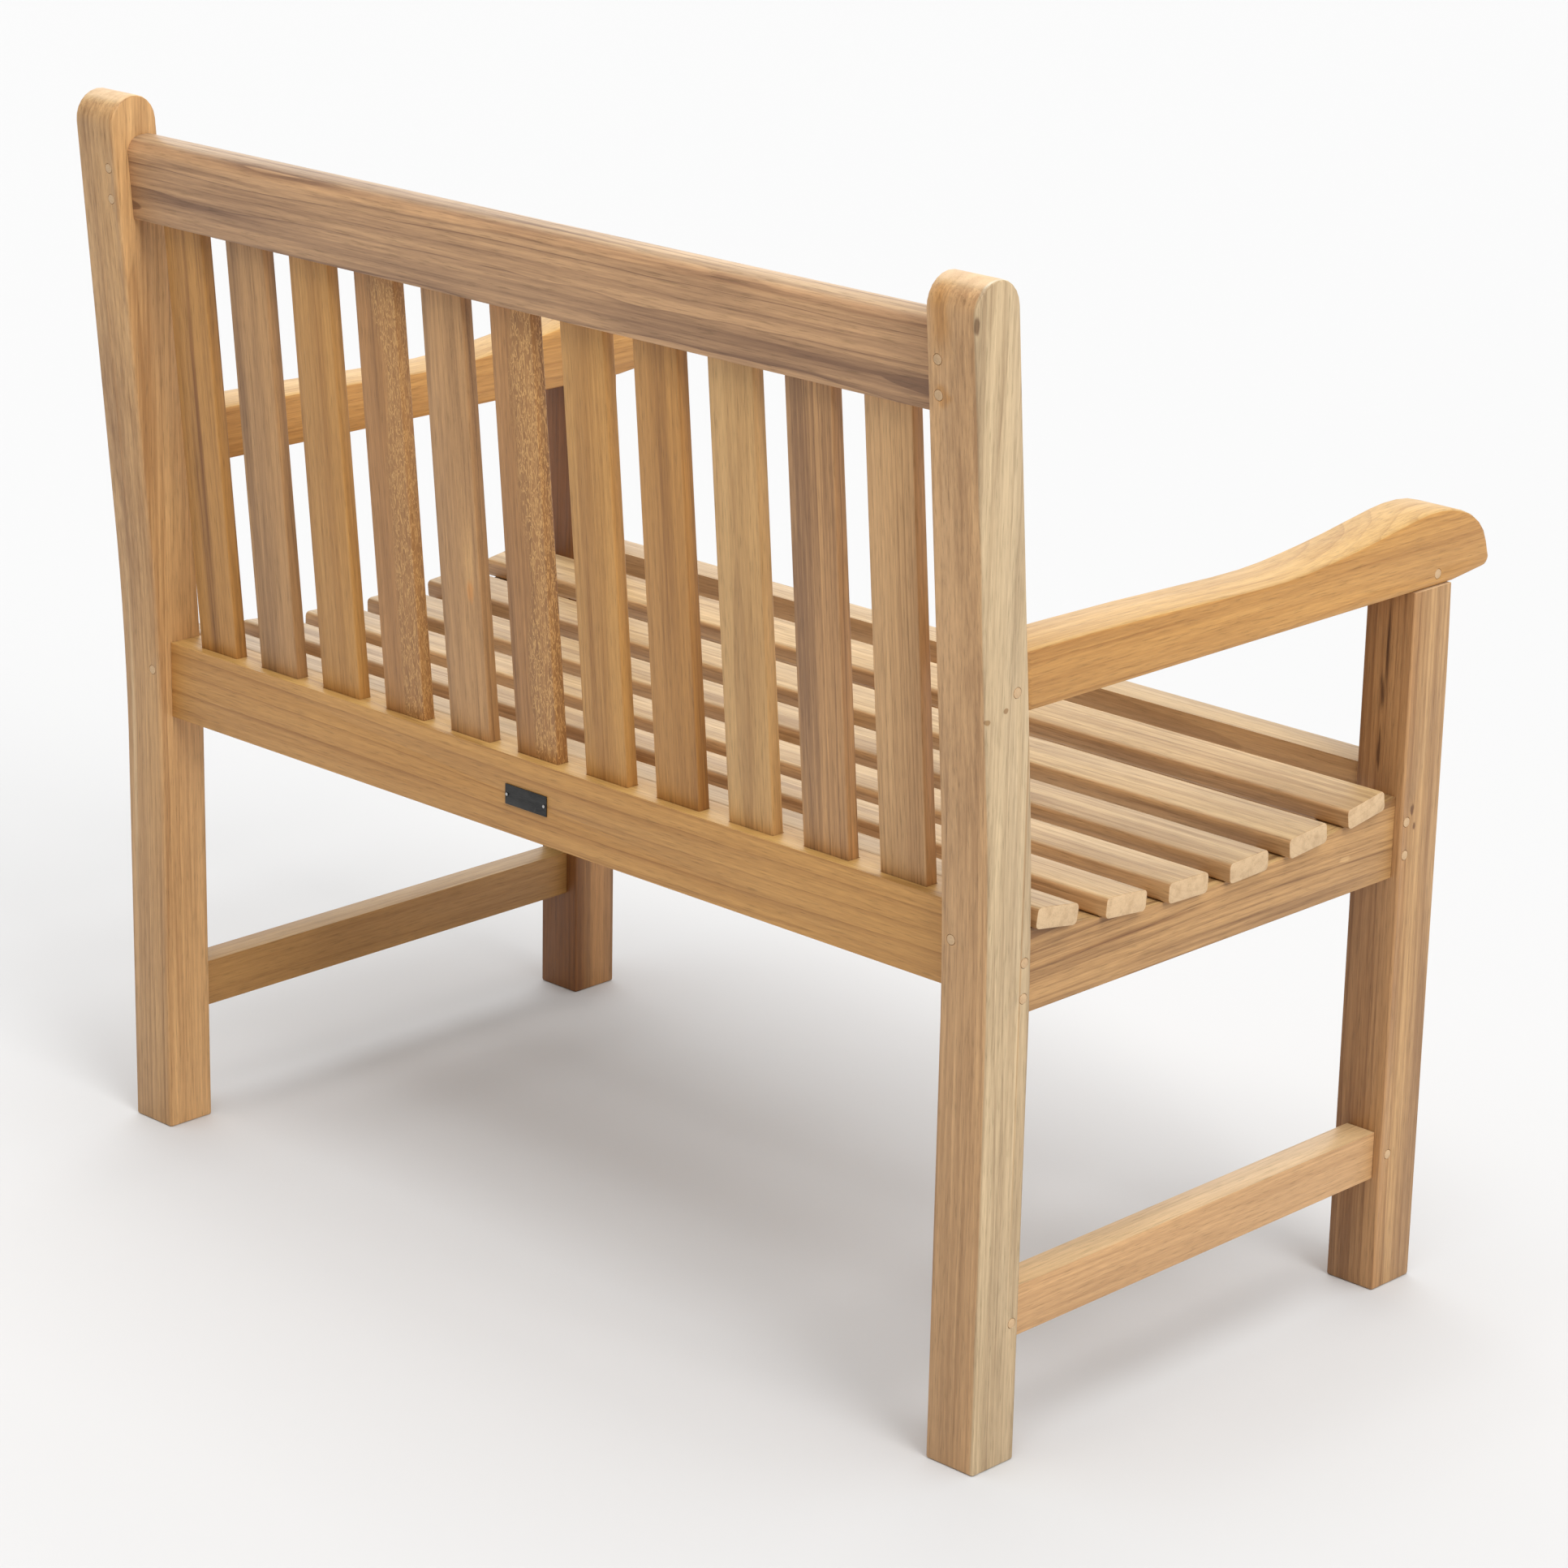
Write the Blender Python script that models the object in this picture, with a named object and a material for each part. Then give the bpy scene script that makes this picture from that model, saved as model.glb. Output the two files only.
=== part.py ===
"""Two-seat teak garden bench with a slatted, slightly reclined back and a dished slatted seat.

Frame: the bench faces -Y, its frame is symmetrical about X = 0, +Z is up and the feet stand on Z = 0.
Left and right are those of a person sitting on the bench, so left is +X.
Depths along Y are given from the back faces of the rear legs at the floor, negative to the front.
"""

from math import atan, cos, pi, radians, sin

import bmesh
import bpy
from mathutils import Matrix, Vector

# Overall
WIDTH = 1.000                   # over the legs and over the ends of the seat slats
HEIGHT = 0.921                  # to the top of the rear legs
FOOTPRINT_DEPTH = 0.545         # rear leg's back face to front leg's front face, at the floor

# Steps along the curves
BEND_STEPS = 8
ROUND_STEPS = 12
TAPER_STEPS = 3
DISH_STEPS = 14
NOSE_STEPS = 4

# Fits
FIT_GAP = 0.0003                # all round every tenon, peg and shoulder
EDGE_EASE = 0.002               # eased edges of the legs and rails
ARM_EASE = 0.004
TENON_ROOT = 0.006              # how far a tenon reaches back into its own piece
TENON_THICKNESS = 0.012
SAW_ALLOWANCE = 0.006           # left on a piece until its end is sawn

# Rear legs
REAR_LEG_WIDTH = 0.048
REAR_LEG_DEPTH = 0.0465
BEND_START = 0.330              # straight below this height
BEND_END = 0.560                # straight again above it
LEAN_SLOPE = 0.086              # run per unit of rise above the bend

# Front legs
FRONT_LEG_WIDTH = 0.0475
FRONT_LEG_DEPTH = 0.050
FRONT_TAPER_START = 0.475       # the front face draws back above this height
FRONT_TAPER = 0.0025
ARM_TENON_HEIGHT = 0.025
ARM_TENON_FRONT = -0.535
ARM_TENON_REAR = -0.505

# Side frames
SIDE_INSET = 0.007              # rails and stretchers, in from the legs' outer faces
SIDE_RAIL_THICKNESS = 0.028
SIDE_RAIL_BOTTOM = 0.360
STRETCHER_BOTTOM = 0.0985
STRETCHER_HEIGHT = 0.041
SIDE_TENON_LENGTH = 0.028
SIDE_TENON_INNER = 0.0255       # in from the legs' outer faces to the tenons' inner cheeks
SIDE_RAIL_TENON_HEIGHTS = (0.368, 0.415)
STRETCHER_TENON_HEIGHTS = (0.1035, 0.1345)

# Seat
SEAT_LOW = 0.4075               # underside of the slats at the bottom of the dish
SEAT_LOW_DEPTH = -0.268
SEAT_SAG = 0.020
SEAT_SAG_REACH = 0.222
SEAT_SLAT_COUNT = 6
SEAT_SLAT_WIDTH = 0.047
SEAT_SLAT_THICKNESS = 0.017
SEAT_SLAT_ROUND = 0.004
SEAT_REAR_SLAT_DEPTH = -0.0735
SEAT_SECOND_SLAT_DEPTH = -0.153
SEAT_SLAT_PITCH = 0.0735

# Front rail and the bearer under the middle of the seat
FRONT_RAIL_REAR = -0.497
FRONT_RAIL_THICKNESS = 0.033
FRONT_RAIL_BOTTOM = 0.3795
FRONT_RAIL_TOP = 0.448
FRONT_RAIL_TENON_HEIGHTS = (0.390, 0.436)
BEARER_WIDTH = 0.028
BEARER_BOTTOM = 0.3795
BEARER_TENON_LENGTH = 0.012
BEARER_TENON_HEIGHTS = (0.388, 0.412)

# Back
TOP_RAIL_THICKNESS = 0.033
TOP_RAIL_INSET = 0.0135         # in from the rear legs' back faces
TOP_RAIL_BOTTOM = 0.817
TOP_RAIL_HEIGHT = 0.0685
TOP_RAIL_CROWN = 0.0015
TOP_RAIL_SHOULDER = 0.009       # how far the rounded top drops at its edges
TOP_RAIL_TENON_HEIGHTS = (0.010, 0.052)     # above the rail's lower edge
BOTTOM_RAIL_THICKNESS = 0.0355
BOTTOM_RAIL_INSET = 0.011
BOTTOM_RAIL_BOTTOM = 0.3795
BOTTOM_RAIL_TOP = 0.446
BOTTOM_RAIL_TENON_HEIGHTS = (0.390, 0.434)
BACK_TENON_LENGTH = 0.020
BACK_SLAT_COUNT = 11
BACK_SLAT_WIDTH = 0.047
BACK_SLAT_THICKNESS = 0.012
BACK_SLAT_ROUND = 0.0012
BACK_SLAT_DEPTH = 0.027         # from the rear legs' back faces to the slats' middles
BACK_SLAT_SHIFT = 0.003         # the row stands a little to the left of the middle
SLAT_POCKET_DEPTH = 0.012

# Armrests
ARM_WIDTH = 0.050
ARM_OUTER_INSET = 0.001
ARM_UNDERSIDE = 0.597           # at the rear leg
ARM_SLOPE = 0.004               # rise towards the nose per unit of depth
ARM_NOSE_DEPTH = -0.593
ARM_REAR_TENON_LENGTH = 0.024
ARM_REAR_TENON_HEIGHTS = (0.605, 0.635)
# Upper outline, rear to front: depth and height
ARM_CROWN = (
    (-0.100, 0.6440),
    (-0.180, 0.6430),
    (-0.260, 0.6405),
    (-0.330, 0.6395),
    (-0.380, 0.6430),
    (-0.430, 0.6490),
    (-0.475, 0.6560),
    (-0.510, 0.6605),
    (-0.540, 0.6590),
    (-0.568, 0.6495),
    (-0.5845, 0.6345),
    (-0.5915, 0.6160),
)
ARM_NOSE_ROUND = 0.008
ARM_NOSE_LIFT = 0.0045          # the overhang's underside rises this much at the nose

# Pegs
PEG_RADIUS = 0.004
PEG_SIDES = 16
PEG_LENGTH = 0.040              # of the pegs that run front to back
BACK_PEG_IN = 0.038             # from the outer face of a leg to the rail pegs' axes
TOP_RAIL_PEG_HEIGHTS = (0.835, 0.861)
BOTTOM_RAIL_PEG_HEIGHT = 0.422
FRONT_RAIL_PEG_HEIGHT = 0.418
SIDE_PEG_DEEPER = 0.001         # past the side tenons' inner cheeks
ARM_PEG_DEEPER = 0.004          # past the arm tenons' inner cheeks
PEG_HOLE_START = 0.003          # a hole's cutter starts this far outside the face
# Depth and height of each peg that runs across, by joint
SIDE_PEGS = {
    "side_rail_rear": ((-0.038, 0.376), (-0.038, 0.404)),
    "side_rail_front": ((-0.502, 0.379), (-0.502, 0.407)),
    "stretcher_rear": ((-0.039, 0.115),),
    "stretcher_front": ((-0.505, 0.119),),
    "arm_rear": ((-0.019, 0.615),),
    "arm_front": ((-0.524, 0.609),),
}

# Name plate
PLATE_WIDTH = 0.048
PLATE_HEIGHT = 0.017
PLATE_THICKNESS = 0.0008
PLATE_CENTRE_X = 0.005
PLATE_CENTRE_Z = 0.4128
PLATE_PIN_SPREAD = 0.043
PLATE_PIN_RADIUS = 0.0006
PLATE_PIN_HEAD_RADIUS = 0.0013
PLATE_PIN_HEAD = 0.0006
PLATE_PIN_LENGTH = 0.006
PLATE_PIN_SIDES = 12

# Colours, linear
LIGHT_TEAK = (0.56, 0.37, 0.20)
GOLDEN_TEAK = (0.49, 0.28, 0.12)
BROWN_TEAK = (0.37, 0.21, 0.11)
ROSE_TEAK = (0.41, 0.25, 0.15)
PALE_PEG = (0.60, 0.42, 0.24)
CHARCOAL = (0.035, 0.033, 0.032)
STEEL = (0.55, 0.55, 0.55)
BACK_SLAT_TONES = (
    GOLDEN_TEAK, ROSE_TEAK, GOLDEN_TEAK, BROWN_TEAK, ROSE_TEAK, BROWN_TEAK,
    GOLDEN_TEAK, GOLDEN_TEAK, LIGHT_TEAK, ROSE_TEAK, LIGHT_TEAK,
)

# Derived
HALF = WIDTH / 2
TILT = atan(LEAN_SLOPE)
LEAN_AT_BEND = LEAN_SLOPE * (BEND_END - BEND_START) / 2
REAR_LEG_INNER = HALF - REAR_LEG_WIDTH
FRONT_LEG_INNER = HALF - FRONT_LEG_WIDTH
FRONT_LEG_FRONT = -FOOTPRINT_DEPTH
FRONT_LEG_REAR = FRONT_LEG_FRONT + FRONT_LEG_DEPTH
SIDE_OUTER = HALF - SIDE_INSET
SIDE_TENON = (HALF - SIDE_TENON_INNER, HALF - SIDE_TENON_INNER + TENON_THICKNESS)
PEG_X = HALF - BACK_PEG_IN
TOP_ROUND_RADIUS = REAR_LEG_DEPTH * cos(TILT) / 2
TOP_RAIL_MIDDLE = -TOP_RAIL_INSET - TOP_RAIL_THICKNESS / 2
BOTTOM_RAIL_MIDDLE = -BOTTOM_RAIL_INSET - BOTTOM_RAIL_THICKNESS / 2
BOTTOM_RAIL_FRONT = -BOTTOM_RAIL_INSET - BOTTOM_RAIL_THICKNESS
FRONT_RAIL_MIDDLE = FRONT_RAIL_REAR - FRONT_RAIL_THICKNESS / 2
ARM_CENTRE = HALF - ARM_OUTER_INSET - ARM_WIDTH / 2
SIDES = (("left", 1), ("right", -1))


def lean(z):
    """How far the back face of a rear leg has moved back at height z."""
    if z <= BEND_START:
        return 0.0
    if z <= BEND_END:
        return LEAN_SLOPE * (z - BEND_START) ** 2 / (2 * (BEND_END - BEND_START))
    return LEAN_AT_BEND + LEAN_SLOPE * (z - BEND_END)


def rear_leg_front(z):
    return lean(z) - REAR_LEG_DEPTH


def arm_underside(y):
    """Height of an armrest's underside, which rises a little towards the front."""
    return ARM_UNDERSIDE - ARM_SLOPE * (y + REAR_LEG_DEPTH)


def seat_curve(y):
    """Height of the dished surface that the seat slats rest on."""
    return SEAT_LOW + SEAT_SAG * ((y - SEAT_LOW_DEPTH) / SEAT_SAG_REACH) ** 2


def along_back(z):
    """Distance up the back plane of a point at height z on it."""
    return (z - BEND_END) / cos(TILT)


TOP_ROUND_HEIGHT = HEIGHT - TOP_ROUND_RADIUS
TOP_ROUND_DEPTH = lean(TOP_ROUND_HEIGHT) - REAR_LEG_DEPTH / 2
REARMOST = TOP_ROUND_DEPTH + TOP_ROUND_RADIUS
# The depths' zero lies behind the middle of the bench, which is the origin.
BENCH_CENTRE = (REARMOST + ARM_NOSE_DEPTH) / 2
TO_WORLD = Matrix.Translation((0, -BENCH_CENTRE, 0))
UPRIGHT = Matrix.Identity(4)
# The plane of the rear legs' back faces above the bend, with its own Z up along the lean.
BACK_PLANE = Matrix.Translation((0, lean(BEND_END), BEND_END)) @ Matrix.Rotation(-TILT, 4, "X")


# Building blocks

def clear_scene():
    for old in list(bpy.data.objects):
        bpy.data.objects.remove(old, do_unlink=True)


def material(name, colour, roughness, metallic):
    made = bpy.data.materials.new(name)
    made.use_nodes = True
    shader = made.node_tree.nodes["Principled BSDF"]
    shader.inputs["Base Color"].default_value = (*colour, 1.0)
    shader.inputs["Roughness"].default_value = roughness
    shader.inputs["Metallic"].default_value = metallic
    made.diffuse_color = (*colour, 1.0)
    return made


def new_object(name, bm):
    bmesh.ops.recalc_face_normals(bm, faces=bm.faces)
    mesh = bpy.data.meshes.new(name)
    bm.to_mesh(mesh)
    bm.free()
    made = bpy.data.objects.new(name, mesh)
    bpy.context.scene.collection.objects.link(made)
    return made


def around(middle, thickness):
    return (middle - thickness / 2, middle + thickness / 2)


def mirrored(side, inner, outer):
    return (side * inner, side * outer)


def add_box(bm, ranges, frame=UPRIGHT, grow=0.0):
    """A box over ranges of X, Y and Z, or one larger all round by grow."""
    low = Vector([min(r) - grow for r in ranges])
    high = Vector([max(r) + grow for r in ranges])
    place = frame @ Matrix.Translation((low + high) / 2) @ Matrix.Diagonal((*(high - low), 1))
    bmesh.ops.create_cube(bm, size=1, matrix=place)


def add_rod(bm, start, end, radius, sides=PEG_SIDES):
    start = Vector(start)
    run = Vector(end) - start
    turn = Vector((0, 0, 1)).rotation_difference(run).to_matrix().to_4x4()
    bmesh.ops.create_cone(
        bm, cap_ends=True, segments=sides, radius1=radius, radius2=radius,
        depth=run.length, matrix=Matrix.Translation(start + run / 2) @ turn,
    )


def add_prism(bm, outline, x_range, frame=UPRIGHT):
    """A closed solid with an outline of (y, z) points, run along X."""
    near, far = [[bm.verts.new(frame @ Vector((x, y, z))) for y, z in outline] for x in x_range]
    bm.faces.new(near)
    bm.faces.new(far)
    for i, near_vertex in enumerate(near):
        j = (i + 1) % len(outline)
        bm.faces.new((near_vertex, near[j], far[j], far[i]))


def rounded_rectangle(width, height, radius, steps):
    points = []
    for corner, (u, v) in enumerate(((1, 1), (-1, 1), (-1, -1), (1, -1))):
        for step in range(steps + 1):
            angle = (corner + step / steps) * pi / 2
            across = u * (width / 2 - radius) + radius * cos(angle)
            up = v * (height / 2 - radius) + radius * sin(angle)
            points.append((across, up))
    return points


def smooth_through(points, steps):
    """Points on a Catmull-Rom curve through the given ones, with steps per span."""
    ends = [points[0], *points, points[-1]]
    out = []
    for a, b, c, d in zip(ends, ends[1:], ends[2:], ends[3:]):
        a, b, c, d = Vector(a), Vector(b), Vector(c), Vector(d)
        for step in range(steps):
            t = step / steps
            bend = (2 * a - 5 * b + 4 * c - d) * t ** 2 + (3 * b - a - 3 * c + d) * t ** 3
            out.append(tuple(b + ((c - a) * t + bend) / 2))
    out.append(points[-1])
    return out


def shape_with(target, what, bm, operation):
    """Join or cut a helper solid, which is not itself a piece of the bench."""
    helper = new_object(f"{target.name}_{what}", bm)
    helper.matrix_world = TO_WORLD
    helper.hide_render = True
    helper.display_type = "WIRE"
    modifier = target.modifiers.new(what, "BOOLEAN")
    modifier.operation = operation
    modifier.solver = "EXACT"
    modifier.object = helper


def add_tenons(target, boxes):
    bm = bmesh.new()
    for ranges, frame in boxes:
        add_box(bm, ranges, frame)
    shape_with(target, "tenons", bm, "UNION")


def cut_pockets(target, boxes):
    """A pocket for each box, larger all round by the gap."""
    bm = bmesh.new()
    for ranges, frame in boxes:
        add_box(bm, ranges, frame, FIT_GAP)
    shape_with(target, "pockets", bm, "DIFFERENCE")


def ease(target, width=EDGE_EASE, segments=2):
    modifier = target.modifiers.new("eased edges", "BEVEL")
    modifier.width = width
    modifier.segments = segments
    modifier.limit_method = "ANGLE"
    modifier.angle_limit = radians(35)


def finish(target, origin, colour, roughness=0.55, metallic=0.0, frame=UPRIGHT):
    """Move the object's origin to a point of its own, then place it in the bench."""
    own = frame @ Matrix.Translation(frame.inverted() @ Vector(origin))
    target.data.transform(own.inverted())
    target.data.shade_smooth()
    target.data.set_sharp_from_angle(angle=radians(30))
    target.parent = bench
    target.matrix_world = TO_WORLD @ own
    finish_name = f"{target.name}_finish"
    target.data.materials.append(material(finish_name, colour, roughness, metallic))


# Tenons, each as its box of X, Y and Z and the frame that the box is in

def top_rail_tenon(side):
    bottom = along_back(TOP_RAIL_BOTTOM)
    low, high = TOP_RAIL_TENON_HEIGHTS
    across = mirrored(side, REAR_LEG_INNER - TENON_ROOT, REAR_LEG_INNER + BACK_TENON_LENGTH)
    deep = around(TOP_RAIL_MIDDLE, TENON_THICKNESS)
    return (across, deep, (bottom + low, bottom + high)), BACK_PLANE


def bottom_rail_tenon(side):
    across = mirrored(side, REAR_LEG_INNER - TENON_ROOT, REAR_LEG_INNER + BACK_TENON_LENGTH)
    deep = around(BOTTOM_RAIL_MIDDLE, TENON_THICKNESS)
    return (across, deep, BOTTOM_RAIL_TENON_HEIGHTS), UPRIGHT


def front_rail_tenon(side):
    across = mirrored(side, FRONT_LEG_INNER - TENON_ROOT, FRONT_LEG_INNER + BACK_TENON_LENGTH)
    deep = around(FRONT_RAIL_MIDDLE, TENON_THICKNESS)
    return (across, deep, FRONT_RAIL_TENON_HEIGHTS), UPRIGHT


def side_tenon(side, end, heights):
    """Of a side rail or a side stretcher, into the rear or the front leg."""
    if end == "rear":
        deep = (-REAR_LEG_DEPTH - TENON_ROOT, -REAR_LEG_DEPTH + SIDE_TENON_LENGTH)
    else:
        deep = (FRONT_LEG_REAR - SIDE_TENON_LENGTH, FRONT_LEG_REAR + TENON_ROOT)
    return (mirrored(side, *SIDE_TENON), deep, heights), UPRIGHT


def arm_rear_tenon(side):
    low, high = ARM_REAR_TENON_HEIGHTS
    shoulder = rear_leg_front((low + high) / 2)
    deep = (shoulder - TENON_ROOT, shoulder + ARM_REAR_TENON_LENGTH)
    return (around(side * ARM_CENTRE, TENON_THICKNESS), deep, (low, high)), UPRIGHT


def front_leg_top_tenon(side):
    deep = (ARM_TENON_FRONT, ARM_TENON_REAR)
    shoulder = arm_underside(FRONT_LEG_REAR)
    up = (shoulder - TENON_ROOT, shoulder + ARM_TENON_HEIGHT)
    return (around(side * ARM_CENTRE, TENON_THICKNESS), deep, up), UPRIGHT


def bearer_rear_tenon():
    deep = (BOTTOM_RAIL_FRONT - TENON_ROOT, BOTTOM_RAIL_FRONT + BEARER_TENON_LENGTH)
    return (around(0, TENON_THICKNESS), deep, BEARER_TENON_HEIGHTS), UPRIGHT


def bearer_front_tenon():
    deep = (FRONT_RAIL_REAR - BEARER_TENON_LENGTH, FRONT_RAIL_REAR + TENON_ROOT)
    return (around(0, TENON_THICKNESS), deep, BEARER_TENON_HEIGHTS), UPRIGHT


# Pegs

def all_pegs():
    """Each peg's side, joint, number and the two ends of its axis, the outer end first."""
    pegs = []
    for side_name, side in SIDES:
        x = side * PEG_X
        for number, height in enumerate(TOP_RAIL_PEG_HEIGHTS, 1):
            up = along_back(height)
            ends = (BACK_PLANE @ Vector((x, 0, up)), BACK_PLANE @ Vector((x, -PEG_LENGTH, up)))
            pegs.append((side_name, "top_rail", number, ends))
        height = BOTTOM_RAIL_PEG_HEIGHT
        depth = lean(height)
        ends = (Vector((x, depth, height)), Vector((x, depth - PEG_LENGTH, height)))
        pegs.append((side_name, "bottom_rail", 1, ends))
        height = FRONT_RAIL_PEG_HEIGHT
        depth = FRONT_LEG_FRONT
        ends = (Vector((x, depth, height)), Vector((x, depth + PEG_LENGTH, height)))
        pegs.append((side_name, "front_rail", 1, ends))
        for joint, places in SIDE_PEGS.items():
            outer, inner = HALF, SIDE_TENON[0] - SIDE_PEG_DEEPER
            if joint.startswith("arm"):
                inner = ARM_CENTRE - TENON_THICKNESS / 2 - ARM_PEG_DEEPER
            if joint == "arm_front":
                outer = HALF - ARM_OUTER_INSET
            for number, (depth, height) in enumerate(places, 1):
                ends = (Vector((side * outer, depth, height)), Vector((side * inner, depth, height)))
                pegs.append((side_name, joint, number, ends))
    return pegs


def drill(target, joints, side_name=None):
    """Peg holes of the named joints, on one side or on both."""
    bm = bmesh.new()
    for peg_side, joint, _, (outer, inner) in PEGS:
        if joint in joints and side_name in (None, peg_side):
            run = (inner - outer).normalized()
            add_rod(bm, outer - run * PEG_HOLE_START, inner + run * 2 * FIT_GAP, PEG_RADIUS + FIT_GAP)
    shape_with(target, "peg_holes", bm, "DIFFERENCE")


def peg(side_name, joint, number, ends):
    outer, inner = ends
    bm = bmesh.new()
    add_rod(bm, outer, inner, PEG_RADIUS)
    made = new_object(f"{joint}_peg_{side_name}_{number}", bm)
    turn = Vector((0, 0, 1)).rotation_difference(outer - inner).to_matrix().to_4x4()
    finish(made, outer, PALE_PEG, frame=turn)


# Legs

def rear_leg(side_name, side):
    """A sawn leg in one piece from the floor to the rounded top."""
    heights = [0.0] + [BEND_START + (BEND_END - BEND_START) * i / BEND_STEPS for i in range(BEND_STEPS + 1)]
    back = [(lean(z), z) for z in heights]
    front = [(rear_leg_front(z), z) for z in reversed(heights)]
    top = []
    for step in range(ROUND_STEPS + 1):
        angle = pi * step / ROUND_STEPS - TILT
        across = TOP_ROUND_DEPTH + TOP_ROUND_RADIUS * cos(angle)
        top.append((across, TOP_ROUND_HEIGHT + TOP_ROUND_RADIUS * sin(angle)))
    bm = bmesh.new()
    add_prism(bm, back + top + front, mirrored(side, REAR_LEG_INNER, HALF))
    leg = new_object(f"rear_leg_{side_name}", bm)
    ease(leg)
    cut_pockets(leg, (
        top_rail_tenon(side),
        bottom_rail_tenon(side),
        side_tenon(side, "rear", SIDE_RAIL_TENON_HEIGHTS),
        side_tenon(side, "rear", STRETCHER_TENON_HEIGHTS),
        arm_rear_tenon(side),
    ))
    drill(leg, ("top_rail", "bottom_rail", "side_rail_rear", "stretcher_rear", "arm_rear"), side_name)
    finish(leg, (side * (HALF - REAR_LEG_WIDTH / 2), -REAR_LEG_DEPTH / 2, 0), LIGHT_TEAK)


def saw_to_armrest(leg):
    """Cut a front leg's top to the slope of the armrest that stands on it."""
    ends = (FRONT_LEG_FRONT - SAW_ALLOWANCE, FRONT_LEG_REAR + SAW_ALLOWANCE)
    cut = [(y, arm_underside(y) - FIT_GAP) for y in ends]
    top = max(ARM_CROWN, key=lambda point: point[1])[1]
    bm = bmesh.new()
    add_prism(bm, [*cut, (ends[1], top), (ends[0], top)], (-WIDTH, WIDTH))
    shape_with(leg, "saw cut", bm, "DIFFERENCE")


def front_leg(side_name, side):
    """A straight leg whose front face draws back a little towards the armrest."""
    sawn = arm_underside(FRONT_LEG_FRONT) + SAW_ALLOWANCE
    front = []
    for step in range(TAPER_STEPS + 1):
        t = step / TAPER_STEPS
        z = FRONT_TAPER_START + (sawn - FRONT_TAPER_START) * t
        front.append((FRONT_LEG_FRONT + FRONT_TAPER * t ** 2, z))
    outline = [(FRONT_LEG_FRONT, 0), *front, (FRONT_LEG_REAR, sawn), (FRONT_LEG_REAR, 0)]
    bm = bmesh.new()
    add_prism(bm, outline, mirrored(side, FRONT_LEG_INNER, HALF))
    leg = new_object(f"front_leg_{side_name}", bm)
    ease(leg)
    saw_to_armrest(leg)
    add_tenons(leg, [front_leg_top_tenon(side)])
    cut_pockets(leg, (
        side_tenon(side, "front", SIDE_RAIL_TENON_HEIGHTS),
        side_tenon(side, "front", STRETCHER_TENON_HEIGHTS),
        front_rail_tenon(side),
    ))
    drill(leg, ("side_rail_front", "stretcher_front", "front_rail", "arm_front"), side_name)
    middle = FRONT_LEG_FRONT + FRONT_LEG_DEPTH / 2
    finish(leg, (side * (HALF - FRONT_LEG_WIDTH / 2), middle, 0), BROWN_TEAK)


# Side frames

def dished_top(rear, front):
    """The seat's curve from the front to the rear, as points of an outline."""
    depths = [front + (rear - front) * step / DISH_STEPS for step in range(DISH_STEPS + 1)]
    return [(y, seat_curve(y)) for y in depths]


def side_seat_rail(side_name, side):
    """The top is cut to the dish of the seat, and the rear end fits the leg's lean."""
    rear = -REAR_LEG_DEPTH - FIT_GAP
    front = FRONT_LEG_REAR + FIT_GAP
    top = dished_top(rear, front)
    rear_top = top[-1][1]
    top[-1] = (rear_leg_front(rear_top) - FIT_GAP, rear_top)
    bm = bmesh.new()
    outline = [(rear, SIDE_RAIL_BOTTOM), (front, SIDE_RAIL_BOTTOM), *top]
    add_prism(bm, outline, mirrored(side, SIDE_OUTER - SIDE_RAIL_THICKNESS, SIDE_OUTER))
    rail = new_object(f"side_seat_rail_{side_name}", bm)
    add_tenons(rail, [side_tenon(side, end, SIDE_RAIL_TENON_HEIGHTS) for end in ("rear", "front")])
    drill(rail, ("side_rail_rear", "side_rail_front"), side_name)
    origin = (side * (SIDE_OUTER - SIDE_RAIL_THICKNESS / 2), SEAT_LOW_DEPTH, SIDE_RAIL_BOTTOM)
    finish(rail, origin, GOLDEN_TEAK)


def side_stretcher(side_name, side):
    deep = (FRONT_LEG_REAR + FIT_GAP, -REAR_LEG_DEPTH - FIT_GAP)
    bm = bmesh.new()
    add_box(bm, (
        mirrored(side, SIDE_OUTER - SIDE_RAIL_THICKNESS, SIDE_OUTER),
        deep,
        (STRETCHER_BOTTOM, STRETCHER_BOTTOM + STRETCHER_HEIGHT),
    ))
    stretcher = new_object(f"side_stretcher_{side_name}", bm)
    add_tenons(stretcher, [side_tenon(side, end, STRETCHER_TENON_HEIGHTS) for end in ("rear", "front")])
    drill(stretcher, ("stretcher_rear", "stretcher_front"), side_name)
    origin = (side * (SIDE_OUTER - SIDE_RAIL_THICKNESS / 2), sum(deep) / 2, STRETCHER_BOTTOM)
    finish(stretcher, origin, GOLDEN_TEAK)


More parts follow.
